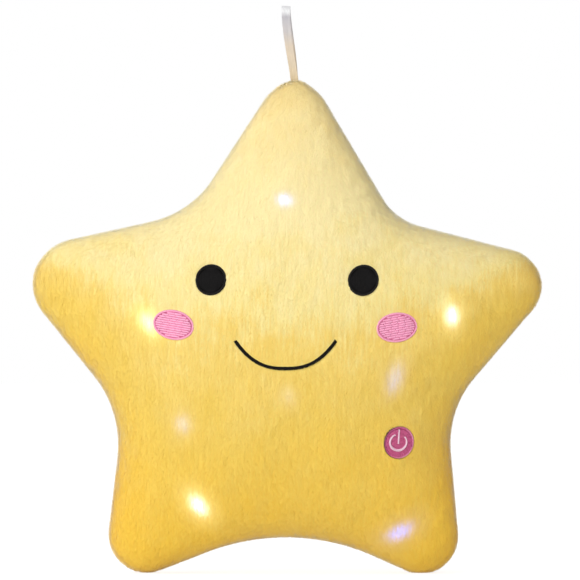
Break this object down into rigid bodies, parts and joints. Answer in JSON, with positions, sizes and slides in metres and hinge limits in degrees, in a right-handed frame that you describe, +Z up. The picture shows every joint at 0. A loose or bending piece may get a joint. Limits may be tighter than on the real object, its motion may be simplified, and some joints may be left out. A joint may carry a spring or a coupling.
{
  "type": "plush night light",
  "caption": "Stuffed star cushion with a sewn face, lamps glowing through its plush, a press switch, a hanging ribbon loop and a zipped battery pocket in its back.",
  "frame": {"origin": "on the floor under the middle of the star, in the plane of the seam between its front and back covers", "axes": "+Z up through the top point and the ribbon loop, -Y out of the face, +X to the right as one looks at the face"},
  "size_m": [0.3397, 0.1055, 0.3789],
  "materials": {
    "plush": "short soft pile",
    "stuffing": "loose fibre",
    "lining": "plain woven lining",
    "eye_thread": "satin stitch",
    "cheek_thread": "satin stitch",
    "patch_thread": "satin stitch",
    "ribbon": "satin ribbon",
    "tape_cloth": "woven tape",
    "zip_plastic": "moulded",
    "metal_grey": "cast and polished",
    "white_plastic": "moulded",
    "black_plastic": "fine moulded texture",
    "board_green": "lacquered board",
    "steel": "plated",
    "nickel": "plated spring strip",
    "cell_wrap": "plain wrapped can",
    "lamp_epoxy": "clear moulded dome, lit",
    "wire_sleeve": "soft sleeve"
  },
  "bodies": {
    "root": {"front_cover": "plush", "back_cover_left": "plush", "back_cover_right": "plush", "filling": "stuffing", "left_eye": "eye_thread", "right_eye": "eye_thread", "left_cheek": "cheek_thread", "right_cheek": "cheek_thread", "mouth": "eye_thread", "switch_bezel": "white_plastic", "switch_housing": "white_plastic", "switch_spring": "steel", "switch_key": "black_plastic", "circuit_board": "board_green", "lamp_1": "lamp_epoxy", "lamp_2": "lamp_epoxy", "lamp_3": "lamp_epoxy", "lamp_4": "lamp_epoxy", "lamp_5": "lamp_epoxy", "lamp_6": "lamp_epoxy", "lamp_7": "lamp_epoxy", "lamp_8": "lamp_epoxy", "lamp_9": "lamp_epoxy", "lamp_wire": "wire_sleeve", "battery_lead": "wire_sleeve", "battery_case": "black_plastic", "battery_lid": "black_plastic", "lid_screw": "steel", "battery_1": "cell_wrap", "battery_2": "cell_wrap", "battery_3": "cell_wrap", "contact_negative": "nickel", "contact_positive": "nickel", "contact_bridge_low": "nickel", "contact_bridge_high": "nickel", "battery_pouch": "lining", "zip_tape_left": "tape_cloth", "zip_tape_right": "tape_cloth", "zip_teeth_left": "zip_plastic", "zip_teeth_right": "zip_plastic", "zip_bottom_stop": "zip_plastic", "zip_top_stop_left": "zip_plastic", "zip_top_stop_right": "zip_plastic"},
    "button": {"power_patch": "patch_thread", "switch_button": "white_plastic"},
    "slider": {"zip_slider": "metal_grey"},
    "pull": {"zip_pull": "metal_grey"},
    "loop": {"hanging_loop": "ribbon"}
  },
  "joints": [
    {"name": "button_press", "type": "slide", "parent": "root", "child": "button", "axis": [-0.302, 0.9454, 0.1225], "range_m": [0, 0.0015], "stiffness_N_per_m": 500, "springref_m": -0.001, "deforming": ["switch_spring"]},
    {"name": "slider_travel", "type": "slide", "parent": "root", "child": "slider", "axis": [0, 0, -1], "range_m": [0, 0.091], "deforming": ["zip_teeth_left", "zip_teeth_right", "zip_tape_left", "zip_tape_right"]},
    {"name": "pull_swing", "type": "hinge", "parent": "slider", "child": "pull", "pos_m": [0, 0.04855, 0.1938], "axis": [1, 0, 0], "range_deg": [0, 150]},
    {"name": "loop_swing", "type": "hinge", "parent": "root", "child": "loop", "pos_m": [0.0045, 0, 0.3296], "axis": [1, 0, 0], "range_deg": [-75, 75], "stiffness_Nm_per_rad": 0.002}
  ]
}
